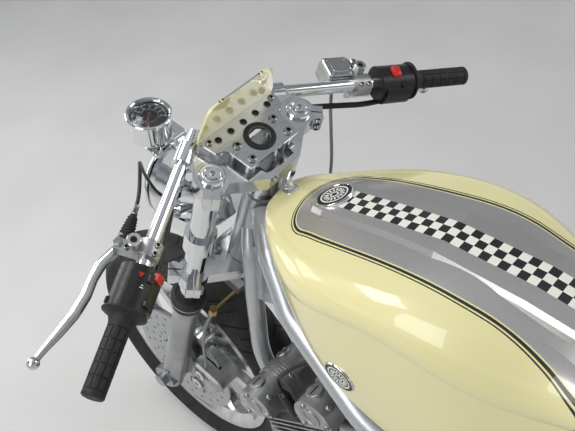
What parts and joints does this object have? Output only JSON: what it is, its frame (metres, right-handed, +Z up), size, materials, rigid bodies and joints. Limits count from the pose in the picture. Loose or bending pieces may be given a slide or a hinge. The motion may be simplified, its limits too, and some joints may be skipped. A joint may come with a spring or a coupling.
{
  "type": "cafe racer motorcycle",
  "caption": "Road motorcycle in cafe racer form: transverse engine in a tube frame, telescopic fork with clip-on bars, long striped tank, low seat, steering, turning wheels and a centre stand.",
  "frame": {"origin": "on the floor, midway between the front of the front tyre and the back of the rear tyre, in the bike's middle plane", "axes": "+X forward, +Y to the rider's left, +Z up"},
  "size_m": [2.0517, 0.9187, 1.0968],
  "materials": {
    "black_hose": "rubber hose and cable sleeves",
    "black_paint": "satin black paint",
    "black_plastic": "moulded black plastic",
    "black_rubber": "moulded black rubber",
    "braided_hose": "steel braid",
    "cast_aluminium": "bead blasted casting",
    "chrome": "bright chrome plate",
    "cream_gloss": "gloss cream lacquer with silver and checker stripes",
    "filter_cloth": "oiled filter cloth",
    "lamp_glass": "clear fluted lens",
    "polished_aluminium": "polished",
    "red_lens": "red lens",
    "seat_leather": "black leather",
    "silver_paint": "silver frame paint",
    "steel": "plain turned steel",
    "tyre_rubber": "road tread"
  },
  "bodies": {
    "frame": {"air_filters": "filter_cloth", "battery_box": "black_paint", "cam_boxes": "cast_aluminium", "carburettors": "cast_aluminium", "chain": "steel", "cradle_rails": "silver_paint", "crankcase": "cast_aluminium", "cylinder_block": "cast_aluminium", "cylinder_head": "cast_aluminium", "down_tubes": "silver_paint", "engine_covers": "polished_aluminium", "footrests": "cast_aluminium", "front_sprocket": "steel", "fuel_tank": "cream_gloss", "headers": "chrome", "headstock": "silver_paint", "main_tubes": "silver_paint", "mufflers": "chrome", "pivot_plates": "polished_aluminium", "plug_leads": "black_hose", "rear_caliper": "cast_aluminium", "rear_shocks": "chrome", "seat_base": "black_paint", "seat_cushion": "seat_leather", "seat_rails": "silver_paint", "sprocket_cover": "cast_aluminium", "swingarm": "silver_paint", "tail_cowl": "cream_gloss", "tail_light": "red_lens", "through_bolts": "steel"},
    "steering": {"top_yoke": "polished_aluminium", "lower_yoke": "polished_aluminium", "fork_caps": "chrome", "fork_tubes": "chrome", "dust_seals": "black_rubber", "fork_sliders": "cast_aluminium", "front_axle": "steel", "front_calipers": "cast_aluminium", "dash_plate": "polished_aluminium", "flyscreen": "cream_gloss", "handlebars": "chrome", "grips": "black_rubber", "bar_housings": "black_plastic", "lever_perches": "cast_aluminium", "hand_levers": "polished_aluminium", "headlight": "chrome", "headlight_lens": "lamp_glass", "lamp_brackets": "black_paint", "speedometer": "chrome", "brake_hoses": "braided_hose", "control_cables": "black_hose"},
    "front_wheel": {"front_rim": "polished_aluminium", "front_tyre": "tyre_rubber", "front_discs": "steel"},
    "rear_wheel": {"rear_rim": "polished_aluminium", "rear_tyre": "tyre_rubber", "rear_disc": "steel", "rear_sprocket": "steel"},
    "centre_stand": {"centre_stand": "black_paint"}
  },
  "joints": [
    {"name": "steering_head", "type": "hinge", "parent": "frame", "child": "steering", "pos_m": [0.44788, 0, 0.80658], "axis": [-0.4226, 0, 0.9063], "range_deg": [-30, 30]},
    {"name": "front_wheel_spin", "type": "hinge", "parent": "steering", "child": "front_wheel", "pos_m": [0.724, 0, 0.302], "axis": [0, 1, 0], "continuous": true},
    {"name": "rear_wheel_spin", "type": "hinge", "parent": "frame", "child": "rear_wheel", "pos_m": [-0.706, 0, 0.326], "axis": [0, 1, 0], "continuous": true},
    {"name": "stand_fold", "type": "hinge", "parent": "frame", "child": "centre_stand", "pos_m": [-0.11004, 0, 0.11597], "axis": [0, 1, 0], "range_deg": [0, 75]}
  ]
}
